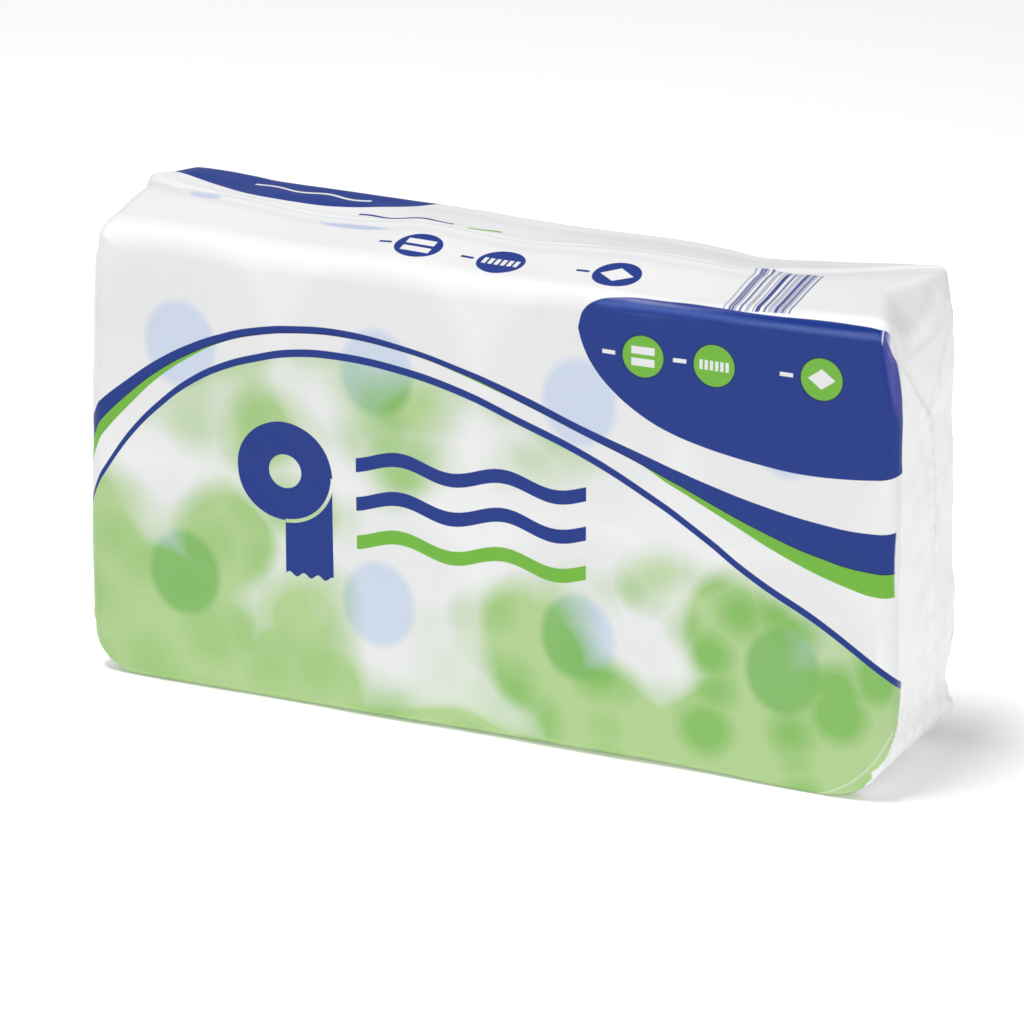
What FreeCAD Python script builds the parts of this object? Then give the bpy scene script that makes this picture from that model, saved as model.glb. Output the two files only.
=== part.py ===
import FreeCAD, Part
import os
import Sketcher

# A film pack of toilet paper rolls, standing on its long side with the cores facing the front.
# Millimetres. X runs along the pack, Y from front to back, Z up. The origin is on the ground,
# under the middle of the pack.

doc = FreeCAD.newDocument("roll_pack")
sheet = doc.addObject("Spreadsheet::Sheet", "Sizes")

driving_sizes = {
    # Rolls: wound at about 125 across, squeezed sideways by the tight film. Rolls and cores repeat,
    # so their ovals are drawn in flats, as many as a multiple of four.
    "rolls_per_row": 4,
    "row_count": 2,
    "roll_width": 115,
    "roll_height": 131,
    "sheet_width": 94,
    "roll_gap": 0.2,
    "roll_edge_softening": 6,
    "roll_sides": 24,
    # Cardboard cores, squeezed oval with the rolls.
    "core_width": 42,
    "core_height": 48,
    "core_wall": 0.6,
    "core_clearance": 0.15,
    "core_sides": 16,
    # Film sleeve round the rolls.
    "film_wall": 0.5,
    "film_clearance": 0.4,
    "top_corner_radius": 18,
    "left_corner_slack": 31,
    "right_corner_slack": 24,
    "left_sag": 1.5,
    "middle_sag": 3,
    "right_sag": 6.5,
    # Lap along the top, where the sleeve is closed: its free edge faces the front.
    "lap_width": 24,
    "lap_from_back": 32,
    "lap_rise": 0.8,
    # Folded ends: the front flap lies over the back one, and the tucks show above and below.
    "flap_layer": 0.8,
    "flap_overlap": 9,
    "flap_margin": 2,
    # Weld along the front flap's free edge, and the crimps across it.
    "weld_width": 6,
    "weld_rise": 0.6,
    "crimp_rise": 0.8,
    "crimp_length": 3,
    "crimp_pitch": 7,
}

for row_number, (alias, number) in enumerate(driving_sizes.items(), start=1):
    sheet.set("A%d" % row_number, alias)
    sheet.set("B%d" % row_number, str(number))
    sheet.setAlias("B%d" % row_number, alias)
doc.recompute()


def value(expression):
    """The present value of an expression on the sheet, as a plain number."""
    result = sheet.evalExpression(expression)
    return float(getattr(result, "Value", result))


roll_sides = int(value("Sizes.roll_sides"))
core_sides = int(value("Sizes.core_sides"))

# Sizes that follow from the driving ones, as expressions on the sheet.
pitch_x = "(Sizes.roll_width + Sizes.roll_gap)"
pitch_z = "(Sizes.roll_height + Sizes.roll_gap)"
skin = "(Sizes.film_clearance + Sizes.film_wall)"
half_length = f"((Sizes.rolls_per_row * {pitch_x} - Sizes.roll_gap) / 2 + {skin})"
half_depth = f"(Sizes.sheet_width / 2 + {skin})"
pack_height = f"(Sizes.row_count * {pitch_z} - Sizes.roll_gap + 2 * {skin})"
crown_radius = f"(Sizes.roll_width / 2 + {skin})"
left_radius = f"({crown_radius} - Sizes.left_corner_slack)"
right_radius = f"({crown_radius} - Sizes.right_corner_slack)"


def edge_cut(distance):
    """The cut along the film's front and back edges that runs this far outside the rolls' own."""
    return f"(Sizes.roll_edge_softening + (2 - sqrt(2)) * {distance})"


def origin_plane(body, role):
    return next(item for item in body.Origin.OriginFeatures if item.Role == role)


def add_body(name):
    body = doc.addObject("PartDesign::Body", name)
    body.Label = name
    return body


def add_sketch(body, name, role, offset=None):
    """A sketch on one of the body's own origin planes, or that plane moved along its normal."""
    sketch = body.newObject("Sketcher::SketchObject", name)
    sketch.AttachmentSupport = [(origin_plane(body, role), "")]
    sketch.MapMode = "FlatFace"
    if offset is not None:
        sketch.setExpression("AttachmentOffset.Base.z", offset)
    return sketch


def is_arc(step):
    return len(step) == 5


def turns_back(step):
    """True for an arc that runs clockwise, which a sketch stores from its end to its start."""
    return is_arc(step) and step[2].startswith("-")


def trace(sketch, steps):
    """Draws a closed outline and ties every corner and radius to the sheet. A step is (x, y) for a
    corner that a straight line leaves, or (x, y, radius, centre x, centre y) for one that an arc
    leaves, clockwise where the radius has a minus sign. All are expressions."""
    up = FreeCAD.Vector(0, 0, 1)
    first = sketch.GeometryCount
    corners = [FreeCAD.Vector(value(step[0]), value(step[1]), 0) for step in steps]
    edges = []
    for number, step in enumerate(steps):
        here = corners[number]
        there = corners[(number + 1) % len(steps)]
        if not is_arc(step):
            edges.append(Part.LineSegment(here, there))
            continue
        centre = FreeCAD.Vector(value(step[3]), value(step[4]), 0)
        circle = Part.Circle(centre, up, (here - centre).Length)
        begin, end = (there, here) if turns_back(step) else (here, there)
        edges.append(Part.ArcOfCircle(circle, circle.parameter(begin), circle.parameter(end)))
    sketch.addGeometry(edges)

    start, finish = 1, 2
    constraints = []
    expressions = {}
    for number, step in enumerate(steps):
        edge = first + number
        following = first + (number + 1) % len(steps)
        leaves = finish if turns_back(step) else start
        arrives = start if turns_back(step) else finish
        meets = finish if turns_back(steps[(number + 1) % len(steps)]) else start
        constraints.append(Sketcher.Constraint("Coincident", edge, arrives, following, meets))
        expressions[len(constraints)] = step[0]
        constraints.append(Sketcher.Constraint("DistanceX", -1, 1, edge, leaves, corners[number].x))
        expressions[len(constraints)] = step[1]
        constraints.append(Sketcher.Constraint("DistanceY", -1, 1, edge, leaves, corners[number].y))
        if is_arc(step):
            radius = step[2].lstrip("-")
            expressions[len(constraints)] = radius
            constraints.append(Sketcher.Constraint("Radius", edge, value(radius)))
    before = sketch.ConstraintCount
    sketch.addConstraint(constraints)
    for index, expression in expressions.items():
        sketch.setExpression("Constraints[%d]" % (before + index), expression)


def pressed_circle(sketch, width, height, sides):
    """A circle pressed flat on its left and right, drawn in flats: two half circles as wide as it,
    moved apart by what its height exceeds its width."""
    lift = f"({height} - {width}) / 2"
    half = sides // 2
    corners = []
    for number in range(sides + 2):
        side, sign = (number, "+") if number <= half else (number - 1, "-")
        turn = f"({side} * 360 deg / {sides})"
        corners.append((f"{width} / 2 * cos{turn}", f"{width} / 2 * sin{turn} {sign} {lift}"))
    trace(sketch, corners)


def pad(body, sketch, name, length, symmetric=False, reverse=False):
    feature = body.newObject("PartDesign::Pad", name)
    feature.Profile = sketch
    feature.Reversed = reverse
    if symmetric:
        feature.SideType = "Symmetric"
    feature.setExpression("Length", length)
    return feature


def end_edges(shape, depth, clear_of="0"):
    """Names of the edges in the planes y = depth and y = -depth that lie outside a circle of
    diameter clear_of about the shape's own axis."""
    plane = value(depth)
    bore = value(clear_of)
    names = []
    for number, edge in enumerate(shape.Edges, start=1):
        box = edge.BoundBox
        in_plane = box.YLength < 1e-4 and abs(abs(box.YMin) - plane) < 1e-4
        point = edge.CenterOfMass
        outside = point.x ** 2 + point.z ** 2 > bore ** 2
        if in_plane and outside:
            names.append("Edge%d" % number)
    return names


# Paper rolls

def make_roll(name):
    """A roll wound on its core, pressed oval, and soft at the outer edges of its cut ends."""
    body = add_body(name)
    section = add_sketch(body, name + "_section", "XZ_Plane")
    pressed_circle(section, "Sizes.roll_width", "Sizes.roll_height", roll_sides)
    room = "2 * Sizes.core_clearance"
    pressed_circle(section, f"(Sizes.core_width + {room})", f"(Sizes.core_height + {room})", core_sides)
    winding = pad(body, section, name + "_winding", "Sizes.sheet_width", symmetric=True)
    doc.recompute()
    softening = body.newObject("PartDesign::Chamfer", name + "_softening")
    softening.Base = (winding, end_edges(winding.Shape, "Sizes.sheet_width / 2", "Sizes.core_width"))
    softening.setExpression("Size", "Sizes.roll_edge_softening")
    return body


# Cardboard cores

def make_core(name):
    """A thin tube as long as the roll is wide."""
    body = add_body(name)
    section = add_sketch(body, name + "_section", "XZ_Plane")
    pressed_circle(section, "Sizes.core_width", "Sizes.core_height", core_sides)
    walls = "2 * Sizes.core_wall"
    pressed_circle(section, f"(Sizes.core_width - {walls})", f"(Sizes.core_height - {walls})", core_sides)
    pad(body, section, name + "_tube", "Sizes.sheet_width", symmetric=True)
    return body


def place(body, column, row):
    """Puts a roll or core in its column, from the left, and its row, from the bottom."""
    body.setExpression("Placement.Base.x", f"({column} - (Sizes.rolls_per_row - 1) / 2) * {pitch_x}")
    body.setExpression("Placement.Base.z", f"{skin} + Sizes.roll_height / 2 + {row} * {pitch_z}")


# Film sleeve

def sleeve_outline(sketch, inset, rise="0"):
    """The pack seen from the front: round lower corners, tight upper ones, and a top that rests
    on the rolls' crowns and sags between them. inset draws it that much smaller all round, and
    rise lifts the top alone."""
    side = f"({half_length} - {inset})"
    top = f"({pack_height} - {inset} + {rise})"
    corner = f"(Sizes.top_corner_radius - {inset})"
    left = f"({left_radius} - {inset})"
    right = f"({right_radius} - {inset})"
    crown = f"({crown_radius} - {inset} + {rise})"
    crown_centre = f"({pack_height} - {crown_radius})"
    base = inset
    steps = [
        (f"-({half_length} - {left_radius})", base),
        (f"({half_length} - {right_radius})", base, right, f"({half_length} - {right_radius})", right_radius),
        (side, right_radius),
        (side, f"({top} - {corner})", corner, f"({side} - {corner})", f"({top} - {corner})"),
        (f"({side} - {corner})", top),
    ]
    sags = ["Sizes.left_sag", "Sizes.middle_sag", "Sizes.right_sag"]
    valley_count = int(value("Sizes.rolls_per_row")) - 1
    valleys = [sags[min(number, len(sags) - 1)] for number in range(valley_count)]

    def crown_x(column):
        return f"({column} - (Sizes.rolls_per_row - 1) / 2) * {pitch_x}"

    def lean(sag):
        return f"(2 * atan({sag} / ({pitch_x} / 2)))"

    def hollow(sag):
        return f"({pitch_x} / 2 / sin{lean(sag)} - {crown_radius} + {inset} - {rise})"

    for column in range(valley_count, -1, -1):
        over = crown_x(column)
        if column == valley_count:
            steps.append((over, top, crown, over, crown_centre))
        else:
            lean_right = lean(valleys[column])
            steps.append((
                f"({over} + {crown} * sin{lean_right})",
                f"({crown_centre} + {crown} * cos{lean_right})",
                crown, over, crown_centre))
        if column == 0:
            continue
        sag = valleys[column - 1]
        middle = f"({over} - {pitch_x} / 2)"
        floor = f"({top} - {sag} + {hollow(sag)})"
        steps.append((
            f"({over} - {crown} * sin{lean(sag)})",
            f"({crown_centre} + {crown} * cos{lean(sag)})",
            "-" + hollow(sag), middle, floor))
    steps += [
        (crown_x(0), top),
        (f"-({side} - {corner})", top, corner, f"-({side} - {corner})", f"({top} - {corner})"),
        (f"-{side}", f"({top} - {corner})"),
        (f"-{side}", left_radius, left, f"-({half_length} - {left_radius})", left_radius),
    ]
    trace(sketch, steps)


def softened_sleeve(body, name, inset, cut):
    """The sleeve's solid form, with its front and back edges cut off over the rolls' ends."""
    outline = add_sketch(body, name + "_outline", "XZ_Plane")
    sleeve_outline(outline, inset)
    block = pad(body, outline, name + "_block", f"2 * ({half_depth} - {inset})", symmetric=True)
    doc.recompute()
    softening = body.newObject("PartDesign::Chamfer", name + "_softening")
    softening.Base = (block, end_edges(block.Shape, f"{half_depth} - {inset}"))
    softening.setExpression("Size", cut)
    doc.recompute()
    return softening


def fold_end(body, side, sign):
    """Closes one end: two tall flaps folded in from the back and the front, cut off slantwise
    where the tucks run under them, and welded along the middle with crimps across the weld."""
    low = f"({right_radius} + Sizes.flap_margin)"
    high = f"({pack_height} - Sizes.top_corner_radius - Sizes.flap_margin)"
    fold_line = f"({half_depth} - {edge_cut(skin)})"
    free_edge = "Sizes.flap_overlap"
    front_reach = f"({fold_line} + {free_edge})"
    reverse = sign == "-"

    back = add_sketch(body, side + "_back_flap_outline", "YZ_Plane", f"{sign}{half_length}")
    trace(back, [
        (fold_line, low),
        (fold_line, high),
        ("0", f"{high} - {fold_line}"),
        ("0", f"{low} + {fold_line}"),
    ])
    pad(body, back, side + "_back_flap", "Sizes.flap_layer", reverse=reverse)

    front = add_sketch(body, side + "_front_flap_outline", "YZ_Plane", f"{sign}{half_length}")
    trace(front, [
        (f"-{fold_line}", low),
        (free_edge, f"{low} + {front_reach}"),
        (free_edge, f"{high} - {front_reach}"),
        (f"-{fold_line}", high),
    ])
    pad(body, front, side + "_front_flap", "2 * Sizes.flap_layer", reverse=reverse)

    on_flap = f"({half_length} + 2 * Sizes.flap_layer)"
    weld_low = f"({low} + {front_reach})"
    weld_high = f"({high} - {front_reach})"
    weld = add_sketch(body, side + "_weld_outline", "YZ_Plane", f"{sign}{on_flap}")
    trace(weld, [
        (f"{free_edge} - Sizes.weld_width", weld_low),
        (free_edge, weld_low),
        (free_edge, weld_high),
        (f"{free_edge} - Sizes.weld_width", weld_high),
    ])
    pad(body, weld, side + "_weld", "Sizes.weld_rise", reverse=reverse)

    on_weld = f"({on_flap} + Sizes.weld_rise)"
    length = value(f"{weld_high} - {weld_low}")
    count = int(length // value("Sizes.crimp_pitch"))
    ends = f"({weld_high} - {weld_low} - {count - 1} * Sizes.crimp_pitch - Sizes.crimp_length) / 2"
    first = f"({weld_low} + {ends})"
    crimp = add_sketch(body, side + "_crimp_outline", "YZ_Plane", f"{sign}{on_weld}")
    trace(crimp, [
        (f"{free_edge} - Sizes.weld_width", first),
        (free_edge, f"{first} + Sizes.crimp_length / 2"),
        (f"{free_edge} - Sizes.weld_width", f"{first} + Sizes.crimp_length"),
    ])
    ridge = pad(body, crimp, side + "_crimp", "Sizes.crimp_rise", reverse=reverse)
    doc.recompute()
    row = body.newObject("PartDesign::LinearPattern", side + "_crimps")
    row.Originals = [ridge]
    row.Direction = (origin_plane(body, "Z_Axis"), [""])
    row.Occurrences = count
    row.setExpression("Length", f"{count - 1} * Sizes.crimp_pitch")
    body.Tip = row


def make_film():
    outer = add_body("film_outside")
    softened_sleeve(outer, "outside", "0", edge_cut(skin))

    # Lap: one more layer along the top, its free edge towards the front.
    lap_outline = add_sketch(outer, "lap_outline", "XZ_Plane", f"-({half_depth} - Sizes.lap_from_back)")
    sleeve_outline(lap_outline, "0", "Sizes.lap_rise")
    pad(outer, lap_outline, "lap", "Sizes.lap_width", reverse=True)

    for side_name, sign in (("left", "-"), ("right", "")):
        fold_end(outer, side_name, sign)

    cavity = add_body("film_inside")
    softened_sleeve(cavity, "inside", "Sizes.film_wall", edge_cut("Sizes.film_clearance"))
    wrap = doc.addObject("Part::Cut", "film_wrap")
    wrap.Base = outer
    wrap.Tool = cavity
    wrap.Label = "film_wrap"
    doc.recompute()
    return wrap


pieces = [make_film()]
row_names = ["bottom", "top"]
for row in range(int(value("Sizes.row_count"))):
    row_name = row_names[row] if row < len(row_names) else "row_%d" % (row + 1)
    for column in range(int(value("Sizes.rolls_per_row"))):
        roll = make_roll("roll_%s_%d" % (row_name, column + 1))
        core = make_core("core_%s_%d" % (row_name, column + 1))
        place(roll, column, row)
        place(core, column, row)
        pieces += [roll, core]
doc.recompute()

for item in doc.Objects:
    if "Invalid" in item.State or "Error" in item.State:
        raise RuntimeError("%s did not build: %s" % (item.Label, item.State))
for piece in pieces:
    if piece.Shape.isNull() or not piece.Shape.isValid() or piece.Shape.Volume <= 0:
        raise RuntimeError("%s has no sound shape" % piece.Label)

os.makedirs("parts", exist_ok=True)
for piece in pieces:
    piece.Shape.exportStep("parts/%s.step" % piece.Label)
    box = piece.Shape.BoundBox
    extent = "%.2f x %.2f x %.2f mm" % (box.XLength, box.YLength, box.ZLength)
    print(piece.Label, "solids", len(piece.Shape.Solids), extent, "volume %.0f mm3" % piece.Shape.Volume)
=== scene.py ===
import math

import bmesh
import bpy
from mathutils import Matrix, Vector, noise


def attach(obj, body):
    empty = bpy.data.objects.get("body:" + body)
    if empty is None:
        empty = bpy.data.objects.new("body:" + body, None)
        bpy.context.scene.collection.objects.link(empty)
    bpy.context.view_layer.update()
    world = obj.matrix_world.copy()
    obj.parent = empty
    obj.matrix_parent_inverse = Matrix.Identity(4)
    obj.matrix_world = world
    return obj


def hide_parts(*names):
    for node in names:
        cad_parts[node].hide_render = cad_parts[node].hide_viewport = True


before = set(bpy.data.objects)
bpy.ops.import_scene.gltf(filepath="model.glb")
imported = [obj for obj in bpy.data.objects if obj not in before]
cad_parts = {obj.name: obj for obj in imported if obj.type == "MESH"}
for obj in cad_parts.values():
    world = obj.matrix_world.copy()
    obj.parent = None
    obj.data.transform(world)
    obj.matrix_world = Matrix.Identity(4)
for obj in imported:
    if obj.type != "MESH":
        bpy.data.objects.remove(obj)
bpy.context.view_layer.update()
print("frame loaded:", len(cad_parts), "nodes")

# Sizes below are in millimetres unless a note says otherwise.
toMetres = 0.001

rollLayout = {
    "columns": (-172.8, -57.6, 57.6, 172.8),
    "rows": (66.4, 197.6),
    "radius": 57.5,
    "lift": 8.0,  # half of what a roll is taller than wide
    "coreRadiusX": 20.6,
    "coreRadiusZ": 24.0,
}

filmShape = {
    "halfLength": 231.2,
    "halfDepth": 47.9,
    "height": 264.0,
    "cuts": (203, 43, 115),  # grid lines along X, Y and Z
    "sidesStart": 33,  # the depth past which the front's and back's print may lie
    "topStart": 249,  # the height past which the top's print may lie
    "cornerRadius": {"lowLeft": 27, "lowRight": 28, "topLeft": 9, "topRight": 5},
    "frontSlack": {"lowRight": 6, "topRight": 4},  # extra radius of these corners at the front
    "edgeRadius": 9,
    "softTopEdge": 6,  # extra radius of the front top edge at the left
    "slackSpan": (-40, 30),  # Y over which the front's extra radius fades
    "softTopSpan": (-60, 150),  # X over which the soft top edge fades
    "sagStart": 185,  # Z from which the top's sag is felt
    "frontSlope": (-44, 6),  # Y from the front edge's line to the middle's, then to the back's
    "backSlope": (0, 40),
    "slopesMeet": 3,
    "leanStart": 110,  # X from which the ends' lean is felt
    "leftLeanSpan": (170, 226),
    "frontLean": 0.4,  # share of the right end's lean at its front
    "frontLeanSpan": (-40, 20),
    "cutCorner": 13,  # how far the top left corner is drawn in at the back
    "cutCornerSpan": ((20, 48), (205, 262)),  # Y and Z
    "lapEar": 5.0,  # how far the lap's left end stands out
    "lapEarPlace": (22, 5),  # Y and half width
    "lapEarSpan": (250, 262),
    "tuckSlope": 14,  # how far the right end's tuck slopes in at the top
    "tuckSlopePlace": (-2, 27),
    "tuckSlopeSpan": (238, 22),  # Z and height
    "lapStep": 0.9,
    "lapRidge": 0.7,
    "lapGroove": 0.6,
    "lapWidth": (18, 32),  # where the step behind the lap's edge fades again
    "tuckDepth": 16,  # how far below the top the upper tuck starts
    "foldStep": 1.0,
    "foldRidge": 0.8,
    "weldFin": 2.2,
    "weldPlace": 6.0,
    "weldWander": 1.5,
    "weldWidth": 1.8,
    "crimpPitch": 7.0,
    "crimpShare": 0.25,
    "crumpleGrain": (40, 11, 26),
    "ruffle": 6.0,
    "rufflePlace": 38.0,
    "ruffleWidth": 2.4,
    "ruffleSpan": (28, 40),  # Z over which the loose film fades
    "ruffleGrain": 6,
    "rimCrease": 0.8,
    "rimRadius": 61.5,
    "rimWidth": 1.8,
    "rimArc": 0.75,  # the crease's middle and half length, in radians from straight down
    "hollow": 0.8,  # film drawn in between the rolls
    "slackWave": 0.5,
    "slackGrain": (70, 40, 55),
    "wrinkle": 0.2,
    "wrinkleGrain": (22, 14, 16),
    "endWrinkle": 2.0,
}

# How high the top lies over X, at the front, along the lap and at the back.
frontTop = [(-231, 260), (-172, 260.5), (-115, 258.5), (-58, 259.5), (0, 257.8), (62, 259.2),
            (115, 258.4), (155, 261), (200, 263.5), (231, 264.5)]
middleTop = [(-231, 264.5), (-195, 265), (-152, 263.7), (-128, 261.8), (-100, 261.4), (-75, 262.6),
             (-52, 264.6), (-25, 263.4), (8, 262.1), (41, 264), (72, 265.2), (100, 264.8),
             (125, 263.5), (155, 265), (195, 265.5), (231, 265.5)]
backTop = [(-231, 265), (-213, 266.5), (-186, 265.8), (-165, 264.6), (-60, 263.7), (27, 261.7),
           (77, 262), (103, 260.6), (122, 258.8), (138, 259.3), (157, 260.9), (185, 262.5),
           (209, 264.9), (231, 266)]
# How far the ends stand out over Z.
leftLean = [(0, 0.8), (14, 2.2), (40, 1.5), (80, 1.0), (130, -0.6), (188, -2.9), (225, -4.8),
            (250, -6.8), (264, -8.5)]
rightLean = [(0, 0), (14, 0.4), (27, 2.6), (37, 0.6), (60, 3.4), (79, 3.8), (113, 2.6), (155, 1.6),
             (192, 0), (212, 0.4), (245, -1.6), (264, -3.5)]
# The bottom front edge's radius over X.
bottomEdge = [(-231, 4), (-60, 6), (90, 8), (180, 3.5), (231, 3)]
# The lap's free edge along the top, as X and Y.
lapLine = [(-232, 24), (-213, 12), (-190, 5), (-150, 3.2), (-100, 2.4), (-55, 4), (-25, 3), (11, 2),
           (60, 3.5), (110, 3), (145, 5), (169, 15), (200, 30), (232, 42)]


def ramp(value, low, high):
    # 0 at low, 1 at high, with no corner at either end
    t = min(max((value - low) / (high - low), 0.0), 1.0)
    return t * t * (3 - 2 * t)


def bump(value, middle, width):
    return math.exp(-((value - middle) / width) ** 2)


def alongLine(points, x):
    # a smooth line through the points
    x = min(max(x, points[0][0]), points[-1][0])
    number = 0
    while points[number + 1][0] < x:
        number += 1
    (x1, y1), (x2, y2) = points[number], points[number + 1]
    x0, y0 = points[max(number - 1, 0)]
    x3, y3 = points[min(number + 2, len(points) - 1)]
    t = (x - x1) / (x2 - x1)
    slope1 = (y2 - y0) / (x2 - x0) * (x2 - x1)
    slope2 = (y3 - y1) / (x3 - x1) * (x2 - x1)
    cubic = (2 * t ** 3 - 3 * t ** 2 + 1) * y1 + (t ** 3 - 2 * t ** 2 + t) * slope1
    return cubic + (3 * t ** 2 - 2 * t ** 3) * y2 + (t ** 3 - t ** 2) * slope2


def outsideRolls(x, z):
    # distance from the nearest roll's rim, minus inside it
    nearest = 1000
    for cx in rollLayout["columns"]:
        for cz in rollLayout["rows"]:
            dz = max(abs(z - cz) - rollLayout["lift"], 0)
            nearest = min(nearest, math.hypot(x - cx, dz) - rollLayout["radius"])
    return nearest


def roundOutline(x, y, z, size):
    # moves a point of the flat-sided outline to the round-cornered one, and gives the point, how
    # far it is inside the outline, and the outline's direction outwards there
    left, low = x < 0, z < size["height"] / 2
    corner = ("low" if low else "top") + ("Left" if left else "Right")
    radius = size["cornerRadius"][corner]
    radius += size["frontSlack"].get(corner, 0) * (1 - ramp(y, *size["slackSpan"]))
    sideX, sideZ = (-1 if left else 1), (-1 if low else 1)
    insetX = size["halfLength"] - abs(x)
    insetZ = z if low else size["height"] - z
    a, b = 1 - insetX / radius, 1 - insetZ / radius
    if a > 0 and b > 0:
        reach, length = max(a, b), math.hypot(a, b)
        a2, b2 = a * reach / length, b * reach / length
        x = sideX * (size["halfLength"] - radius + a2 * radius)
        z = radius - b2 * radius if low else size["height"] - radius + b2 * radius
        return x, z, radius * (1 - reach), (sideX * a / length, sideZ * b / length)
    if insetX < insetZ:
        return x, z, insetX, (sideX, 0)
    return x, z, insetZ, (0, sideZ)


def settle(x, y, z):
    # where a point of the straight pack comes to lie in the sagging one
    size = filmShape
    front, middle, back = (alongLine(line, x) for line in (frontTop, middleTop, backTop))
    if y < size["slopesMeet"]:
        top = front + (middle - front) * ramp(y, *size["frontSlope"])
    else:
        top = middle + (back - middle) * ramp(y, *size["backSlope"])
    newZ = z + (top - size["height"]) * ramp(z, size["sagStart"], size["height"])
    reach = ramp(abs(x), size["leanStart"], size["halfLength"])
    if x > 0:
        lean = alongLine(rightLean, z)
        if lean > 0:
            lean *= size["frontLean"] + (1 - size["frontLean"]) * ramp(y, *size["frontLeanSpan"])
        slopeStart, slopeHeight = size["tuckSlopeSpan"]
        slope = min(max((z - slopeStart) / slopeHeight, 0), 1)
        lean -= size["tuckSlope"] * slope * bump(y, *size["tuckSlopePlace"])
    else:
        alongY, alongZ = size["cutCornerSpan"]
        lean = alongLine(leftLean, z) - size["cutCorner"] * ramp(y, *alongY) * ramp(z, *alongZ)
        lean += size["lapEar"] * bump(y, *size["lapEarPlace"]) * ramp(z, *size["lapEarSpan"])
        reach = max(reach, ramp(abs(x), *size["leftLeanSpan"]))
    newX = x + lean * reach * (1 if x > 0 else -1)
    return Vector((newX, y, newZ))


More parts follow.
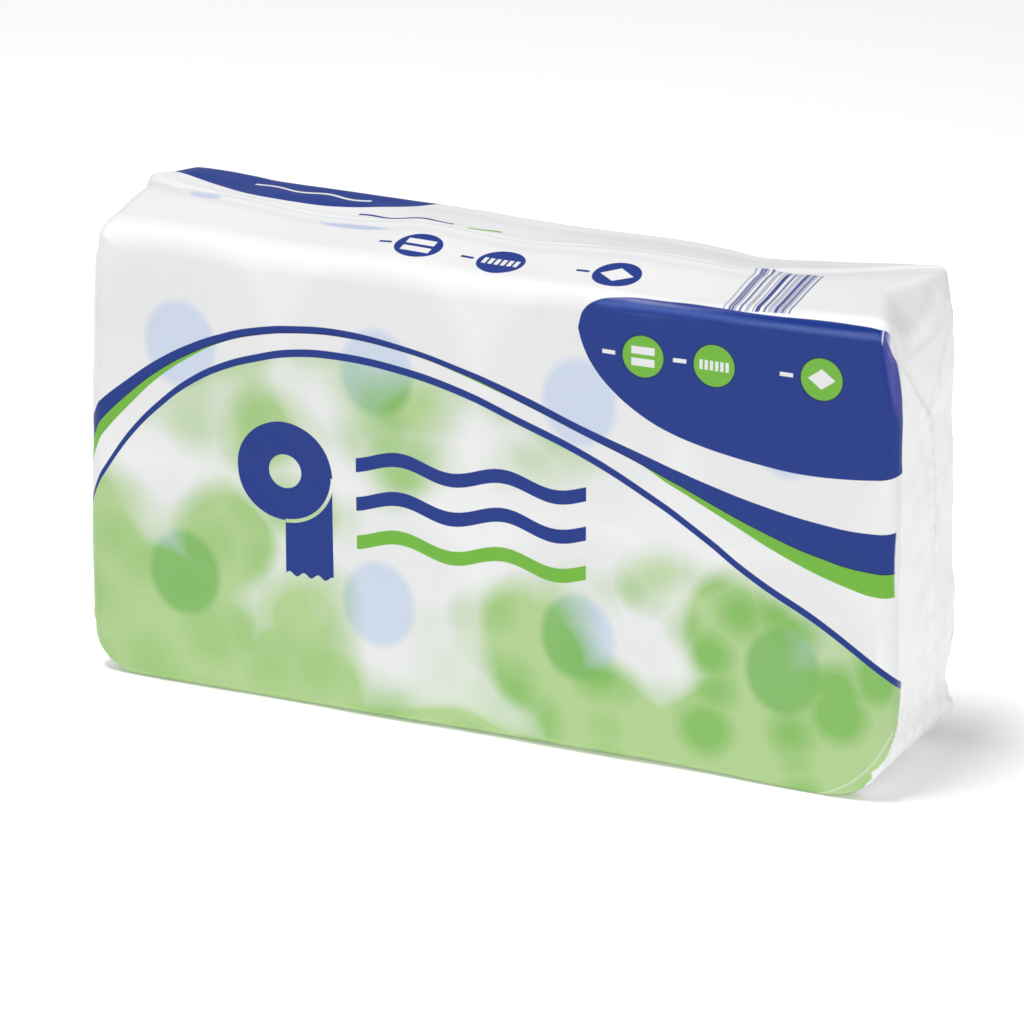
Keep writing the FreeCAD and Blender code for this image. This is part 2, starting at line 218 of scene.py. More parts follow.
def shapePoint(flat, size):
    # 1. the outline and the rounded front and back edges
    side = 1 if flat.y > 0 else -1
    depth = size["halfDepth"]
    onFace = abs(flat.y) > depth - 0.01
    x, z, inset, (outX, outZ) = roundOutline(flat.x, flat.y, flat.z, size)
    edge = size["edgeRadius"]
    if side < 0:
        edge += size["softTopEdge"] * max(outZ, 0) * (1 - ramp(x, *size["softTopSpan"]))
    edge += (alongLine(bottomEdge, x) - edge) * max(-outZ, 0)
    turn = 0.0
    if onFace:
        if inset < edge:
            turn = math.pi / 4 * (1 - inset / edge)
            shift = edge * (1 - math.sin(turn)) - inset
            x -= outX * shift
            z -= outZ * shift
        y = side * (depth - edge * (1 - math.cos(turn)))
    else:
        gap = depth - abs(flat.y)
        turn = math.pi / 2
        y = flat.y
        if gap < edge:
            turn = math.pi / 2 - math.pi / 4 * (1 - gap / edge)
            shift = edge * (1 - math.sin(turn))
            x -= outX * shift
            z -= outZ * shift
            y = side * (depth - edge * (1 - math.cos(turn)))
    out = Vector((outX * math.sin(turn), side * math.cos(turn), outZ * math.sin(turn)))

    place = settle(x, y, z)
    top = max(out.z, 0)
    end = abs(out.x)
    right = x > 0

    # 2. the film drawn in between and round the rolls on the front and back
    face = abs(out.y)
    drawn = size["hollow"] * ramp(outsideRolls(x, z), -4, 12)
    place.y -= side * face * drawn

    # 3. the lap along the top
    lapY = alongLine(lapLine, x)
    fadeStart, fadeEnd = size["lapWidth"]
    behind = ramp(y, lapY - 0.6, lapY + 1.2) * (1 - ramp(y, lapY + fadeStart, lapY + fadeEnd))
    place.z += top * (size["lapStep"] * behind + size["lapRidge"] * bump(y, lapY + 1, 2.2))
    place.z -= top * size["lapGroove"] * bump(y, lapY - 4, 4)

    # 4. folds on the ends: tucks at top and bottom, flaps with a weld between them
    if end > 0.05:
        middle = size["weldPlace"] + size["weldWander"] * noise.noise(Vector((0, 7, z / 30)))
        topTuck = size["height"] - size["tuckDepth"] - z
        lowTuck = z - size["cornerRadius"]["lowRight" if right else "lowLeft"] + 2
        tuck = min(topTuck, lowTuck) - (depth - abs(y))
        layer = ramp(tuck, -1, 1.5) * (1.0 + ramp(middle - y, -1, 1))
        ridge = bump(tuck, 1.2, 2.0)
        fin = bump(y, middle, size["weldWidth"]) * ramp(tuck, 4, 14)
        share = size["crimpShare"]
        crimp = 1 - share + share * math.sin(2 * math.pi * z / size["crimpPitch"])
        grainX, grainY, grainZ = size["crumpleGrain"]
        crumple = noise.turbulence(Vector((x / grainX, y / grainY, z / grainZ)), 3, True)
        crumple *= 0.35 + 0.65 * bump(y, 4, 26) + 0.9 * bump(y, 24, 22) * bump(z, 60, 50)
        crumple *= 1 - 0.6 * ramp(z, 205, 245)
        lift = size["foldStep"] * (layer + size["foldRidge"] * ridge) / 2
        lift += size["weldFin"] * fin * crimp
        lift += size["endWrinkle"] * (crumple - 0.6)
        place += Vector((1 if right else -1, 0, 0)) * lift * end

    # 5. loose film standing off the lower corner at the back of each end
    strand = bump(y, size["rufflePlace"], size["ruffleWidth"])
    if strand > 0.02 and out.z < 0.5 and z < size["ruffleSpan"][1]:
        wave = min(0.6 + 0.9 * noise.noise(Vector((11, 3, (z - x) / size["ruffleGrain"]))), 0.85)
        stand = size["ruffle"] * strand * wave
        stand *= (1 - ramp(z, *size["ruffleSpan"])) * ramp(end, 0.3, 0.7)
        place += Vector((outX, 0, outZ)) * stand * (1 if right else 0.5)

    # 6. the rim of the lower right roll pressing through
    if side < 0 and face > 0.2:
        rimX, rimZ = x - rollLayout["columns"][3], z - (rollLayout["rows"][0] - rollLayout["lift"])
        rim = math.hypot(rimX, rimZ) - size["rimRadius"]
        where = math.atan2(rimX, -rimZ)
        along = bump(where, size["rimArc"], size["rimArc"])
        place.y -= size["rimCrease"] * bump(rim, 0, size["rimWidth"]) * along

    # 7. slack and wrinkles all over
    grainX, grainY, grainZ = size["slackGrain"]
    slack = noise.noise(Vector((x / grainX, y / grainY, z / grainZ)))
    grainX, grainY, grainZ = size["wrinkleGrain"]
    fine = noise.noise(Vector((x / grainX + 9, y / grainY, z / grainZ)))
    place += out * (size["slackWave"] * slack + size["wrinkle"] * fine)
    place.z = max(place.z, 0.0)
    return place


# The film's material is made in four parts, so that each place works out only the print it can show:
# the print of the front and back, and that of the top.
filmParts = [(False, False), (True, False), (False, True), (True, True)]


def makeFilm(size):
    bm = bmesh.new()
    bmesh.ops.create_cube(bm, size=1)
    span = (2 * size["halfLength"], 2 * size["halfDepth"], size["height"])
    bmesh.ops.scale(bm, vec=span, verts=bm.verts)
    bmesh.ops.translate(bm, vec=(0, 0, size["height"] / 2), verts=bm.verts)
    for axis, cuts in enumerate(size["cuts"]):
        along = [e for e in bm.edges if abs((e.verts[0].co - e.verts[1].co)[axis]) > 1]
        bmesh.ops.subdivide_edges(bm, edges=along, cuts=cuts, use_grid_fill=True)
    for vert in bm.verts:
        vert.co = shapePoint(vert.co, size) * toMetres
    for face in bm.faces:
        face.smooth = True
        sides = max(abs(vert.co.y) for vert in face.verts) > size["sidesStart"] * toMetres
        top = max(vert.co.z for vert in face.verts) > size["topStart"] * toMetres
        face.material_index = filmParts.index((sides, top))
    mesh = bpy.data.meshes.new("film")
    bm.to_mesh(mesh)
    bm.free()
    film = bpy.data.objects.new("film", mesh)
    bpy.context.collection.objects.link(film)
    return film


film = makeFilm(filmShape)
print("film shaped:", len(film.data.polygons), "faces")

rollShape = {
    "radius": 57.0,
    "lift": 7.6,
    "halfWidth": 46.6,
    "endRadius": 12.0,  # softness of the rims
    "endSteps": 7,
    "sides": 96,
    "topClearance": 1.0,
    "clearanceSpan": (190, 262),  # Z over which the clearance under the film grows
    "stretchSpan": 12,  # half the height over which a ring is stretched to an oval
}
coreShape = {
    "radiusX": 21.0,
    "radiusZ": 24.0,
    "wall": 0.6,
    "clearance": 0.15,
    "halfWidth": 46.4,
}


def spinProfile(name, profile, settings):
    # profile is radius and Y; the ring is pressed from a circle to an oval afterwards
    bm = bmesh.new()
    verts = [bm.verts.new((radius, y, 0)) for radius, y in profile]
    edges = [bm.edges.new((verts[i], verts[(i + 1) % len(verts)])) for i in range(len(verts))]
    bmesh.ops.spin(bm, geom=verts + edges, cent=(0, 0, 0), axis=(0, 1, 0), angle=2 * math.pi,
                   steps=settings["sides"], use_merge=True)
    bmesh.ops.remove_doubles(bm, verts=bm.verts, dist=0.001)
    bmesh.ops.recalc_face_normals(bm, faces=bm.faces)
    mesh = bpy.data.meshes.new(name)
    piece = bpy.data.objects.new(name, mesh)
    bpy.context.collection.objects.link(piece)
    return piece, bm


def finishPiece(piece, bm, material, node):
    for face in bm.faces:
        face.smooth = True
    bm.to_mesh(piece.data)
    bm.free()
    piece.data.materials.append(material)
    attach(piece, "root")
    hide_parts(node)


def stretched(z, lift):
    # presses a circle to an oval: its upper half goes up and its lower half down
    return z + lift * min(max(z / rollShape["stretchSpan"], -1), 1)


def makeRoll(node, cx, cz, material):
    width, rim = rollShape["halfWidth"], rollShape["endRadius"]
    outer, bore = rollShape["radius"], coreShape["radiusX"] + coreShape["clearance"]
    profile = [(bore, -width), (outer - rim, -width)]
    for step in range(1, rollShape["endSteps"]):
        turn = math.pi / 2 * step / rollShape["endSteps"]
        profile.append((outer - rim * (1 - math.sin(turn)), -width + rim * (1 - math.cos(turn))))
    profile += [(outer, -width + rim), (outer, 0)]
    profile += [(radius, -y) for radius, y in reversed(profile[:-1])]
    piece, bm = spinProfile(node.replace("roll", "softRoll"), profile, rollShape)
    turns = bm.verts.layers.float.new("turns")
    for vert in bm.verts:
        x, y, z = vert.co
        radius = math.hypot(x, z)
        vert[turns] = radius
        boreness = 1 - ramp(radius, bore, outer)
        lift = rollShape["lift"] * (1 - boreness) + (coreShape["radiusZ"] - coreShape["radiusX"]) * boreness
        z = stretched(z, lift)
        place = settle(cx + x, y, cz + z)
        place.z -= rollShape["topClearance"] * ramp(place.z, *rollShape["clearanceSpan"])
        vert.co = place * toMetres
    finishPiece(piece, bm, material, node)


def makeCore(node, cx, cz, material):
    wall, width = coreShape["wall"], coreShape["halfWidth"]
    profile = [(coreShape["radiusX"] - wall, -width), (coreShape["radiusX"], -width),
               (coreShape["radiusX"], width), (coreShape["radiusX"] - wall, width)]
    piece, bm = spinProfile(node.replace("core", "cardCore"), profile, rollShape)
    for vert in bm.verts:
        x, y, z = vert.co
        z = stretched(z, coreShape["radiusZ"] - coreShape["radiusX"])
        vert.co = Vector((cx + x, y, cz + z)) * toMetres
    finishPiece(piece, bm, material, node)


# A socket in a material's node tree that can stand in a Python expression.
class Signal:

    def __init__(self, tree, socket=None):
        self.tree = tree
        self.socket = socket

    def node(self, kind, settings=None, inputs=None, output=0):
        made = self.tree.nodes.new(kind)
        for key, setting in (settings or {}).items():
            if key == "curve":
                line = made.mapping.curves[0]
                line.points[0].location = setting[0]
                line.points[1].location = setting[-1]
                for point in setting[1:-1]:
                    line.points.new(*point)
                made.mapping.update()
            else:
                setattr(made, key, setting)
        for key, given in (inputs or {}).items():
            if isinstance(given, Signal):
                self.tree.links.new(given.socket, made.inputs[key])
            else:
                made.inputs[key].default_value = given
        return Signal(self.tree, made.outputs[output])

    def math(self, operation, *values, clamp=False):
        settings = {"operation": operation, "use_clamp": clamp}
        return self.node("ShaderNodeMath", settings, dict(enumerate(values)))

    def __add__(self, other):
        return self.math("ADD", self, other)

    def __radd__(self, other):
        return self.math("ADD", other, self)

    def __sub__(self, other):
        return self.math("SUBTRACT", self, other)

    def __rsub__(self, other):
        return self.math("SUBTRACT", other, self)

    def __mul__(self, other):
        return self.math("MULTIPLY", self, other)

    def __truediv__(self, other):
        return self.math("DIVIDE", self, other)

    def __neg__(self):
        return self.math("MULTIPLY", self, -1.0)

    def __abs__(self):
        return self.math("ABSOLUTE", self)

    def clamped(self):
        return self.math("ADD", self, 0.0, clamp=True)

    def most(self, other):
        return self.math("MAXIMUM", self, other)

    def root(self):
        return self.math("SQRT", self)

    def wave(self):
        return self.math("SINE", self)

    def whole(self):
        return self.math("FLOOR", self)

    def edge(self, softness=0.35):
        # 1 where the signal is positive, 0 where negative, over a narrow soft edge
        return self.math("MULTIPLY_ADD", self, 1 / softness, 0.5, clamp=True)

    def follows(self, points):
        # the height of a drawn line above this signal
        low, high = points[0][0], points[-1][0]
        base = min(y for x, y in points) - 20
        tall = max(y for x, y in points) + 20 - base
        line = [((x - low) / (high - low), (y - base) / tall) for x, y in points]
        along = self.math("MULTIPLY_ADD", self, 1 / (high - low), -low / (high - low), clamp=True)
        return along.node("ShaderNodeFloatCurve", {"curve": line}, {"Value": along}) * tall + base


def newMaterial(name):
    material = bpy.data.materials.new(name)
    material.use_nodes = True
    tree = material.node_tree
    shader = tree.nodes["Principled BSDF"]
    return material, Signal(tree), shader


def finishMaterial(material, shader, colour, bumps, roughness, shine=0.5):
    material.node_tree.links.new(colour.socket, shader.inputs["Base Color"])
    material.node_tree.links.new(bumps.socket, shader.inputs["Normal"])
    shader.inputs["Roughness"].default_value = roughness
    shader.inputs["Specular IOR Level"].default_value = shine


def blend(factor, under, over):
    # one colour over another
    settings = {"data_type": "RGBA"}
    return factor.node("ShaderNodeMix", settings, {0: factor, 6: under, 7: over}, 2)


def fromScreen(red, green, blue):
    # a colour as a picture stores it, 0 to 255, as light
    def light(value):
        value /= 255
        return value / 12.92 if value <= 0.04045 else ((value + 0.055) / 1.055) ** 2.4
    return (light(red), light(green), light(blue), 1.0)


inkColours = {
    "filmWhite": (219, 219, 220),
    # painted light over the gaps between the rolls, and along the rim crease
    "gapPaintedLight": (224, 224, 225),
    # painted light: the ends get a lighter white than the front and back, for the light they catch
    "endPaintedLight": (236, 236, 237),
    # painted shade along the lap on the top
    "foldPaintedShade": (196, 197, 201),
    "blue": (21, 49, 127),
    "blueRim": (26, 42, 92),
    # painted highlight on the blue field's rounded top edge
    "bluePaintedHighlight": (74, 98, 166),
    # painted reflection on the field's edge turned round the end
    "violetPaintedReflection": (72, 76, 154),
    "green": (108, 172, 58),
    "softGreen": (167, 196, 137),
    "deepGreen": (126, 178, 92),
    # painted shade of the hollow cores under the film
    "coreBlue": (188, 200, 220),
    "coreGreen": (116, 172, 90),
    "paleBlue": (160, 177, 214),
}

# Printed lines on the front, as X and Z.
printLines = {
    "bandTop": [(-240, 137), (-225, 155.3), (-203, 174.4), (-185, 187.8), (-167, 198.3), (-149, 206.4),
                (-131, 212.3), (-105, 217), (-78, 218.5), (-44, 215), (-10, 207.7), (24, 197.7),
                (58, 185.5), (91, 175.1), (125, 164.7), (158, 156.6), (191, 151.3), (215, 149.8),
                (256, 154)],
    "bandLow": [(-240, 122), (-225, 143.3), (-203, 166), (-185, 181), (-167, 192.6), (-149, 201.5),
                (-131, 207.8), (-105, 212.9), (-78, 214.6), (-44, 211.7), (-10, 204.4), (24, 193.3),
                (58, 181), (91, 169.3), (125, 155.2), (158, 142.4), (191, 132.4), (215, 128.3),
                (256, 131)],
    "greenLow": [(-240, 108), (-225, 133.9), (-203, 159.7), (-185, 177.5), (-167, 190.9), (-149, 201.3),
                 (-131, 208.2), (-78, 215), (24, 193.6), (91, 169.3), (109, 159.6), (142, 144.1),
                 (175, 128.9), (208, 118), (222, 115.4), (256, 118)],
    "thinLine": [(-240, 88), (-222, 116.2), (-204, 142.2), (-185, 162.4), (-167, 177.3), (-149, 187.8),
                 (-131, 194.9), (-105, 201.8), (-79, 203.6), (-44, 200.9), (-10, 193.9), (24, 182.5),
                 (58, 170.4), (92, 154.4), (126, 134.1), (159, 113.6), (192, 96.5), (226, 75.2),
                 (256, 58)],
    "labelTop": [(55, 228), (57.3, 241), (60, 249.2), (66, 254.2), (74, 256.4), (108, 257.5), (157, 258.9),
                 (205, 260.3), (223, 259), (231, 254), (240, 240)],
    "labelLow": [(55, 248), (57.3, 237), (60, 228.5), (65, 219.5), (75, 208.3), (91, 196.5), (108, 188.6),
                 (125, 183.9), (141, 180.9), (158, 178.5), (180, 176.7), (207, 177.7), (223, 179.6),
                 (256, 184)],
    "topField": [(-222, 32), (-209, 26.5), (-196, 22), (-177, 15.5), (-161, 12.5), (-135, 13.5),
                 (-106, 17.5), (-86, 24), (-75, 29), (-59, 42), (-50, 50)],
}
# How far the front's print turns round the ends, as Z and the depth where it stops.
turnedPrint = [(0, 45.5), (22, 45), (38, 38), (50, 34), (90, 38.5), (115, 43), (150, 43), (165, 40),
               (180, 38), (205, 39), (228, 41), (250, 44.5), (264, 48)]
printSizes = {
    "thinLineWidth": 4.3,
    "bandRim": 0.8,  # a dark rim where the blue band meets the green
    "discRadius": 11.2,
    "discRim": 0.9,
    "discs": ((93, 228.1), (132, 228.5), (190.4, 229.6)),
    "topFieldEnds": (-219, -52),
    "topDiscRadius": 13.0,
    "topDiscs": ((-45, -21), (3, -23.5), (68.5, -24)),
    "bars": (134, 171, -44, 6),
    "barWidth": 0.8,
    "barShades": ((0.3, 0.45), (0.66, 0.9)),  # the chance a bar passes, and its share of blue
    "cornerX": 197,  # the middle and radius of the outline's lower corners
    "cornerZ": 34,
    "cornerRadius": 27,
    "faceDepth": 48,
    "topPrintStart": 250,
    "footLimit": 34,  # the depth where the print stops under the pack
    "footX": 207,
    "backLess": 5,  # how much less of the print turns round at the back
    "leftMore": 6,
    "ragged": 9,  # how uneven the print's limit is low down on the ends
    "unevenness": 0.085,
    "wideSpots": 0.016,  # spots to a millimetre
    "smallSpots": 0.031,
    "spotRadius": 0.64,  # of the distance between spots
    "spotHaze": 0.012,
    "otherSpots": 300,  # how far the back's spots are from the front's
    "clearing": ((-10, 112), 105, 52),  # where the spots thin out, as a middle and radii
    "roll": (-112, 134),  # the plain roll sign's middle, with its radii and the end of its sheet
    "rollRadius": 28,
    "boreRadius": 9.5,
    "sheetEnd": 76,
    "waves": ((147, "blue"), (125, "blue"), (103, "green")),
    "waveMiddle": -4,
    "waveHalfLength": 66,
    "waveHalfWidth": 4.0,
    "waveRise": 3.4,
    "topWaves": ((-130, 30, 34, "filmWhite"), (-66, 9.5, 28, "blue"), (-20, 8.5, 9, "green")),
    "notch": 221.8,  # the short pale slit in the field's top right corner
    "notchFoot": 253,
    "shine": 254.6,  # painted highlight: the light line along the field's top edge, where its rounded edge catches light
    "paintedHighlightStart": 66,
    "turnedEdge": 220.8,  # where the field's right edge turns round the end; there it is painted a lighter violet, a painted reflection
    "turnedFoot": 212,
}
# Painted light and shade that stand in for the rolls showing through the film: painted shade over the cores,
# painted light in the gaps between the rolls, and a painted highlight along a rim crease.
insideShown = {
    "faceStart": 40,  # the depth where the front and back begin
    "gapEdge": 4,
    "gapSoftness": 14.0,
    "coreSoftness": 4.5,
    "coreShare": 0.85,
    "creaseCorner": (186, 44),
    "creaseHighlightShare": 0.6,
}
# Where the print of the film's inner layer shows beside the lap, as X, Y and half sizes.
showingThrough = ((-181, 2.5, 9, 3.4), (-90, -4.5, 19, 3.6))


def discDistance(u, v, centre, radiusU, radiusV):
    # millimetres from the rim of an oval, minus inside it
    du = (u - centre[0]) * (1 / radiusU)
    dv = (v - centre[1]) * (1 / radiusV)
    return ((du * du + dv * dv).root() - 1) * min(radiusU, radiusV)


def readPlace(start):
    # places on the film in millimetres; the back carries the front's print, read from behind
    coordinates = start.node("ShaderNodeTexCoord", output="Object")
    split = start.node("ShaderNodeSeparateXYZ", inputs={0: coordinates}).socket.node
    x, y, z = (Signal(start.tree, split.outputs[axis]) * 1000 for axis in range(3))
    back = y.edge(1.0)
    u = x * (1 - back * 2)
    # how far a place lies beyond the middle of the outline's corner
    beyondX, below = (abs(x) - printSizes["cornerX"]).most(0.0), (printSizes["cornerZ"] - z).most(0.0)
    onEnd = ((beyondX * beyondX + below * below).root() - printSizes["cornerRadius"]).edge(3.0)
    gone = (printSizes["faceDepth"] - abs(y)).most(0.0) * onEnd  # how far a print has gone round the end
    u = u + gone * ((u * 0.01).clamped() * 2 - 1)
    return {"all": coordinates, "x": x, "y": y, "z": z, "u": u, "back": back, "absX": abs(x),
            "absY": abs(y), "onEnd": onEnd, "top": (z - printSizes["topPrintStart"]).edge(1.0)}


def panelLimit(start, at):
    # 1 where the front's and back's print lies, with an uneven limit low down on the ends
    uneven = start.node("ShaderNodeTexNoise", {"noise_dimensions": "1D"},
                        {"W": at["z"] * printSizes["unevenness"], "Scale": 1.0, "Detail": 2.0})
    low = 1 - ((at["z"] - 40) * 0.05).clamped()
    foot = printSizes["footLimit"]
    limit = at["z"].follows(turnedPrint) + at["back"] * printSizes["backLess"]
    limit = limit + (uneven - 0.5) * low * printSizes["ragged"]
    limit = limit - low * (-at["x"]).edge() * printSizes["leftMore"]
    limit = (limit - foot) * ((at["absX"] - printSizes["footX"]) * 0.08).clamped() + foot
    panel = 1 - at["onEnd"] * (1 - (at["absY"] - limit).edge(0.8))
    return panel * (at["absY"] - foot).edge(1.0)


def softSpots(start, at, ink):
    # soft round spots of two greens that run into one another, thinner in the middle
    across = at["back"] * printSizes["otherSpots"]
    place = start.node("ShaderNodeCombineXYZ", inputs={0: at["u"], 1: across, 2: at["z"]})
    haze = start.node("ShaderNodeTexNoise", {},
                      {"Vector": place, "Scale": printSizes["spotHaze"], "Detail": 1.0})
    spots = []
    for scale in (printSizes["wideSpots"], printSizes["smallSpots"]):
        cell = start.node("ShaderNodeTexVoronoi", {"feature": "F1"}, {"Vector": place, "Scale": scale})
        spots.append(((printSizes["spotRadius"] - cell) * 2.4).clamped())
    middle = discDistance(at["u"], at["z"], *printSizes["clearing"]) * 0.009
    foot = 1 - (at["z"] * 0.02).clamped()
    cover = (haze - 0.5) * 2.6 + spots[0] * 0.9 + middle + foot * 0.35 - 0.02
    cover = (cover * 1.5).clamped()
    fields = blend(cover, ink["filmWhite"], ink["softGreen"])
    right = (at["u"] * 0.004 + 0.35).clamped()
    return cover, blend((spots[1] * cover * (0.4 + right)).clamped(), fields, ink["deepGreen"])


def addInside(colour, at, ink, greens):
    # painted shade over the hollow cores and painted light over the gaps between the rolls, standing in for
    # the rolls showing through the thin film
    seen = (at["absY"] - insideShown["faceStart"]).edge(2.0)
    # the rolls repeat, so one folded place stands for all eight
    columns, rows = rollLayout["columns"], rollLayout["rows"]
    centre = (columns[2], (rows[1] - rows[0]) / 2)
    foldedX = abs(at["absX"] - (columns[3] - columns[2]))
    foldedZ = abs(at["z"] - (rows[0] + rows[1]) / 2)
    gap = discDistance(foldedX, foldedZ, centre, rollLayout["radius"],
                       rollLayout["radius"] + rollLayout["lift"])
    gap = (gap + insideShown["gapEdge"]).edge(insideShown["gapSoftness"])
    # painted light: the film over the gaps between the rolls is made lighter, as if lit from behind
    colour = blend(gap * seen * (1 - greens), colour, ink["gapPaintedLight"])
    # painted shade: the film over each hollow core is darkened to pale blue, or to green under the print
    shade = blend(greens, ink["coreBlue"], ink["coreGreen"])
    core = discDistance(foldedX, foldedZ, centre, rollLayout["coreRadiusX"], rollLayout["coreRadiusZ"])
    core = (-core).edge(insideShown["coreSoftness"])
    colour = blend(core * seen * insideShown["coreShare"], colour, shade)
    # a painted highlight along the crease where the lower right roll's rim presses through
    rimMiddle = (columns[3], rows[0] - rollLayout["lift"])
    paintedCreaseHighlight = discDistance(at["x"], at["z"], rimMiddle, filmShape["rimRadius"], filmShape["rimRadius"])
    left, top = insideShown["creaseCorner"]
    paintedCreaseHighlight = (0.35 - abs(paintedCreaseHighlight)).edge(1.2) * (top - at["z"]).edge(12.0) * (at["x"] - left).edge(12.0)
    return blend(paintedCreaseHighlight * seen * (1 - at["back"]) * insideShown["creaseHighlightShare"], colour, ink["gapPaintedLight"])


def addStripes(colour, at, ink, panel, thin):
    u, z = at["u"], at["z"]
    bandTop = u.follows(printLines["bandTop"])
    bandLow = u.follows(printLines["bandLow"])
    greenLow = u.follows(printLines["greenLow"])
    green = (bandLow - z + 0.5).edge() * (z - greenLow).edge()
    colour = blend(green * panel, colour, ink["green"])
    band = (bandTop - z).edge() * (z - bandLow).edge()
    rim = band * (1 - (z - bandLow - printSizes["bandRim"]).edge())
    colour = blend(band * panel, colour, ink["blue"])
    colour = blend(rim * panel, colour, ink["blueRim"])
    line = (printSizes["thinLineWidth"] / 2 - abs(z - thin)).edge()
    return blend(line * panel, colour, ink["blue"])


def addLabel(colour, at, ink, panel):
    # the blue field with its three discs, a painted highlight along its top edge, and its right edge turning
    # round the end, painted lighter violet as a painted reflection
    u, z = at["u"], at["z"]
    label = (u.follows(printLines["labelTop"]) - z).edge() * (z - u.follows(printLines["labelLow"])).edge()
    label = label * panel
    colour = blend(label, colour, ink["blue"])
    # painted highlight: a lighter blue line along the field's rounded top edge
    paintedHighlightLine = z - printSizes["shine"] - (u - 140) * 0.012
    shine = (1.3 - abs(paintedHighlightLine)).edge(2.4) * (u - printSizes["paintedHighlightStart"]).edge(8.0)
    colour = blend(shine * label * 0.7, colour, ink["bluePaintedHighlight"])
    # painted reflection: the print turned round the end is painted a lighter violet
    turned = (at["absX"] - printSizes["turnedEdge"] - (258 - z) * 0.2).edge(1.4)
    turned = turned * (z - printSizes["turnedFoot"]).edge(22.0)
    colour = blend(turned * label * 0.8, colour, ink["violetPaintedReflection"])
    notch = (0.3 - abs(at["absX"] - printSizes["notch"])).edge(0.5) * (z - printSizes["notchFoot"]).edge(3.0)
    colour = blend(notch * label, colour, ink["filmWhite"])
    for number, centre in enumerate(printSizes["discs"]):
        disc = discDistance(u, z, centre, printSizes["discRadius"], printSizes["discRadius"])
        colour = blend((printSizes["discRim"] - disc).edge() * label, colour, ink["blueRim"])
        colour = blend((-disc).edge() * label, colour, ink["green"])
        sign = pictogram(number, u - centre[0], z - centre[1]) * (-disc).edge()
        colour = blend(sign.most(dash(u - centre[0], z - centre[1])) * label, colour, ink["filmWhite"])
    return colour


def addRollSign(colour, at, ink, panel):
    # a plain roll with its sheet hanging down, and waves beside it
    u, z = at["u"], at["z"]
    cx, cz = printSizes["roll"]
    radius = printSizes["rollRadius"]
    disc = discDistance(u, z, (cx, cz), radius, radius)
    wavyEnd = ((u - cx) * 0.75).wave() * 1.2 + printSizes["sheetEnd"]  # the sheet's torn end
    sheet = (u - cx).edge() * (cx + radius - u).edge() * (cz - z).edge() * (z - wavyEnd).edge()
    between = (1.0 - abs(disc)).edge() * (u - cx).edge() * (cz - z).edge()
    bore = (-discDistance(u, z, (cx, cz), printSizes["boreRadius"], printSizes["boreRadius"])).edge()
    sign = (-disc).edge().most(sheet) * (1 - between) * (1 - bore) * panel
    colour = blend(sign, colour, ink["blue"])
    ends = (printSizes["waveHalfLength"] - abs(u - printSizes["waveMiddle"])).edge()
    for height, shade in printSizes["waves"]:
        wave = abs(z - height - ((u + 60) * 0.105).wave() * printSizes["waveRise"])
        colour = blend((printSizes["waveHalfWidth"] - wave).edge() * ends * panel, colour, ink[shade])
    return colour


def addTopPrint(start, colour, at, ink):
    x, y, top = at["x"], at["y"], at["top"]
    lapY = x.follows(lapLine)
    for cx, cy, halfX, halfY in showingThrough:
        patch = (-discDistance(x, y, (cx, cy), halfX, halfY)).edge(1.2) * (lapY - y).edge()
        colour = blend(patch * top * 0.8, colour, ink["paleBlue"])
    # painted shade: a dark line along the lap's edge, and painted shade over the two layers beside it
    line = (0.45 - abs(y - lapY - 0.2)).edge(0.9)
    colour = blend(line * top * 0.8, colour, ink["foldPaintedShade"])
    under = (y - lapY + 7).edge(9.0) * (lapY - y).edge()
    colour = blend(under * top * 0.28, colour, ink["foldPaintedShade"])
    left, right = printSizes["topFieldEnds"]
    field = (y - x.follows(printLines["topField"])).edge() * (x - left).edge() * (right - x).edge()
    colour = blend(field * top, colour, ink["blue"])
    for cx, cy, halfLength, shade in printSizes["topWaves"]:
        wave = abs(y - cy - ((x - cx) * 0.2).wave() * 1.5)
        wave = (1.1 - wave).edge() * (halfLength - abs(x - cx)).edge()
        colour = blend(wave * top, colour, ink[shade])
    for number, centre in enumerate(printSizes["topDiscs"]):
        disc = discDistance(x, y, centre, printSizes["topDiscRadius"], printSizes["topDiscRadius"])
        colour = blend((-disc).edge() * top, colour, ink["blue"])
        sign = pictogram(number, (x - centre[0]) * 0.8, (y - centre[1]) * 0.8) * (-disc).edge()
        colour = blend(sign * top, colour, ink["filmWhite"])
        colour = blend(dash(x - centre[0], y - centre[1]) * top, colour, ink["blue"])
    left, right, front, rear = printSizes["bars"]
    block = (x - left).edge() * (right - x).edge() * (y - front).edge() * (rear - y).edge()
    cell = (x / printSizes["barWidth"]).whole()
    chance = start.node("ShaderNodeTexWhiteNoise", {"noise_dimensions": "1D"}, {"W": cell})
    for limit, share in printSizes["barShades"]:
        colour = blend(block * (chance - limit).edge(0.05) * top * share, colour, ink["blue"])
    return colour


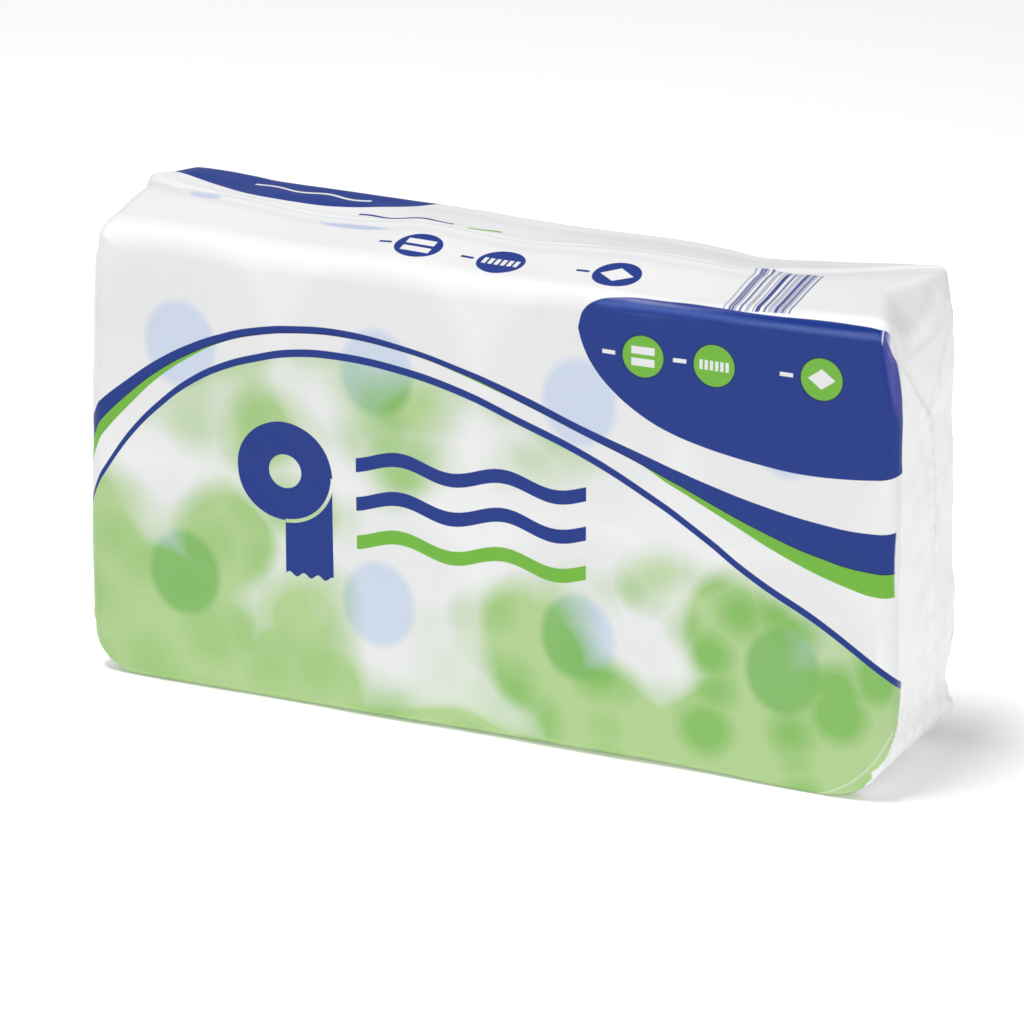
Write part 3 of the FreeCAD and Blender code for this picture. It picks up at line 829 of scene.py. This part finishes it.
def makeFilmMaterial(sides, top):
    name = "film" + (" sides" if sides else "") + (" top" if top else "")
    material, start, shader = newMaterial(name)
    ink = {name: fromScreen(*shade) for name, shade in inkColours.items()}
    at = readPlace(start)
    # painted light: the ends are painted lighter than the front and back
    colour = blend(at["onEnd"], ink["filmWhite"], ink["endPaintedLight"])
    if sides:
        panel = panelLimit(start, at)
        thin = at["u"].follows(printLines["thinLine"])
        under = (thin - at["z"]).edge() * panel
        cover, fields = softSpots(start, at, ink)
        colour = blend(under, colour, fields)
        colour = addInside(colour, at, ink, under * cover)
        colour = addStripes(colour, at, ink, panel, thin)
        colour = addLabel(colour, at, ink, panel)
        colour = addRollSign(colour, at, ink, panel)
    if top:
        colour = addTopPrint(start, colour, at, ink)

    wrinkles = start.node("ShaderNodeTexNoise", {}, {"Vector": at["all"], "Scale": 55.0, "Detail": 2.0})
    endWrinkles = start.node("ShaderNodeTexNoise", {"noise_type": "RIDGED_MULTIFRACTAL"},
                             {"Vector": at["all"], "Scale": 38.0, "Detail": 2.0})
    height = wrinkles * (1 - at["onEnd"]) * 0.22 + endWrinkles * at["onEnd"] * 0.75
    bumps = start.node("ShaderNodeBump", {}, {"Strength": 0.5, "Distance": 0.002, "Height": height})
    finishMaterial(material, shader, colour, bumps, roughness=0.3, shine=0.22)
    return material


def pictogram(number, du, dv):
    # a plain white shape in a disc: two bars, a row of short bars or one square
    if number == 0:
        return (2.1 - abs(abs(dv) - 3.2)).edge() * (6.4 - abs(du)).edge()
    if number == 1:
        row = ((du * 1.1).wave() * (du * 1.1).wave() - 0.3).edge(0.3)
        return (2.6 - abs(dv)).edge() * row * (8.6 - abs(du)).edge()
    return (7.4 - abs(du) - abs(dv) * 1.35).edge()


def dash(du, dv):
    # a short plain stroke to the left of a disc
    return (3.6 - abs(du + 19)).edge() * (1.1 - abs(dv)).edge()


def makePaperMaterial():
    material, start, shader = newMaterial("tissue paper")
    coordinates = start.node("ShaderNodeTexCoord", output="Object")
    turns = start.node("ShaderNodeAttribute", {"attribute_name": "turns"}, output="Fac")
    fibre = start.node("ShaderNodeTexNoise", {}, {"Vector": coordinates, "Scale": 900.0, "Detail": 3.0})
    spread = start.node("ShaderNodeTexNoise", {}, {"Vector": coordinates, "Scale": 60.0})
    layers = ((turns + spread * 1.5) * 9.0).wave() * 0.5 + 0.5
    shade = blend(fibre * 0.6 + layers * 0.4, fromScreen(226, 224, 218), fromScreen(246, 245, 241))
    height = fibre * 0.5 + layers * 0.5
    bumps = start.node("ShaderNodeBump", {}, {"Strength": 0.5, "Distance": 0.0006, "Height": height})
    finishMaterial(material, shader, shade, bumps, roughness=0.9)
    return material


def makeCardMaterial():
    material, start, shader = newMaterial("grey card")
    coordinates = start.node("ShaderNodeTexCoord", output="Object")
    grain = start.node("ShaderNodeTexNoise", {}, {"Vector": coordinates, "Scale": 400.0, "Detail": 4.0})
    shade = blend(grain, fromScreen(160, 148, 130), fromScreen(192, 180, 162))
    bumps = start.node("ShaderNodeBump", {}, {"Strength": 0.3, "Distance": 0.0004, "Height": grain})
    finishMaterial(material, shader, shade, bumps, roughness=0.85)
    return material


for sides, top in filmParts:
    film.data.materials.append(makeFilmMaterial(sides, top))
paperMaterial = makePaperMaterial()
cardMaterial = makeCardMaterial()
for row, cz in zip(("bottom", "top"), rollLayout["rows"]):
    for column, cx in enumerate(rollLayout["columns"], start=1):
        makeRoll("roll_%s_%d" % (row, column), cx, cz, paperMaterial)
        makeCore("core_%s_%d" % (row, column), cx, cz, cardMaterial)
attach(film, "root")
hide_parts("film_wrap")
print("materials made:", len(bpy.data.materials))


stageSizes = {
    "floor": 12.0,  # metres, as the rest here
    "floorWhite": 0.98,
    "floorGlow": 0.15,
    "world": 0.35,
    "aim": (0, 0, 0.1),
    "lights": {  # place, diameter and power
        "top": ((-0.35, -0.45, 2.7), 1.0, 59.0),
        "front": ((-0.4, -2.6, 0.6), 0.9, 9.0),
        "right": ((2.6, -1.0, 0.45), 0.8, 17.5),
    },
}

cameraSetting = {
    "azimuth": 23.38,  # degrees from the front, towards the right
    "elevation": 21.35,
    "distance": 2.889,
    "target": (-0.00082, 0.0, 0.1109),
    "focal": 5410.0,  # pixels on an image 1024 wide
}


def makeFloor():
    bm = bmesh.new()
    bmesh.ops.create_grid(bm, x_segments=1, y_segments=1, size=stageSizes["floor"] / 2)
    mesh = bpy.data.meshes.new("floor")
    bm.to_mesh(mesh)
    bm.free()
    floor = bpy.data.objects.new("floor", mesh)
    bpy.context.collection.objects.link(floor)
    material, start, shader = newMaterial("pale floor")
    white = stageSizes["floorWhite"]
    shader.inputs["Base Color"].default_value = (white, white, white, 1)
    shader.inputs["Roughness"].default_value = 0.9
    shader.inputs["Specular IOR Level"].default_value = 0.1
    shader.inputs["Emission Color"].default_value = (1, 1, 1, 1)
    shader.inputs["Emission Strength"].default_value = stageSizes["floorGlow"]
    mesh.materials.append(material)


def makeLight(name, place, aim, size, power):
    data = bpy.data.lights.new(name, "AREA")
    data.shape = "DISK"
    data.size = size
    data.energy = power
    lamp = bpy.data.objects.new(name, data)
    bpy.context.collection.objects.link(lamp)
    lamp.location = place
    lamp.rotation_euler = (Vector(aim) - Vector(place)).to_track_quat("-Z", "Y").to_euler()


def makeCamera():
    azimuth = math.radians(cameraSetting["azimuth"])
    elevation = math.radians(cameraSetting["elevation"])
    target = Vector(cameraSetting["target"])
    direction = Vector((math.sin(azimuth) * math.cos(elevation),
                        -math.cos(azimuth) * math.cos(elevation), math.sin(elevation)))
    data = bpy.data.cameras.new("camera")
    data.sensor_width = 36
    data.lens = 36 * cameraSetting["focal"] / 1024
    camera = bpy.data.objects.new("camera", data)
    bpy.context.collection.objects.link(camera)
    camera.location = target + direction * cameraSetting["distance"]
    camera.rotation_euler = (-direction).to_track_quat("-Z", "Y").to_euler()
    bpy.context.scene.camera = camera


makeFloor()
for name, (place, size, power) in stageSizes["lights"].items():
    makeLight(name, place, stageSizes["aim"], size, power)
world = bpy.data.worlds.new("studio")
world.use_nodes = True
world.node_tree.nodes["Background"].inputs["Color"].default_value = (1, 1, 1, 1)
world.node_tree.nodes["Background"].inputs["Strength"].default_value = stageSizes["world"]
bpy.context.scene.world = world
bpy.context.scene.view_settings.view_transform = "Standard"
makeCamera()
print("stage set")
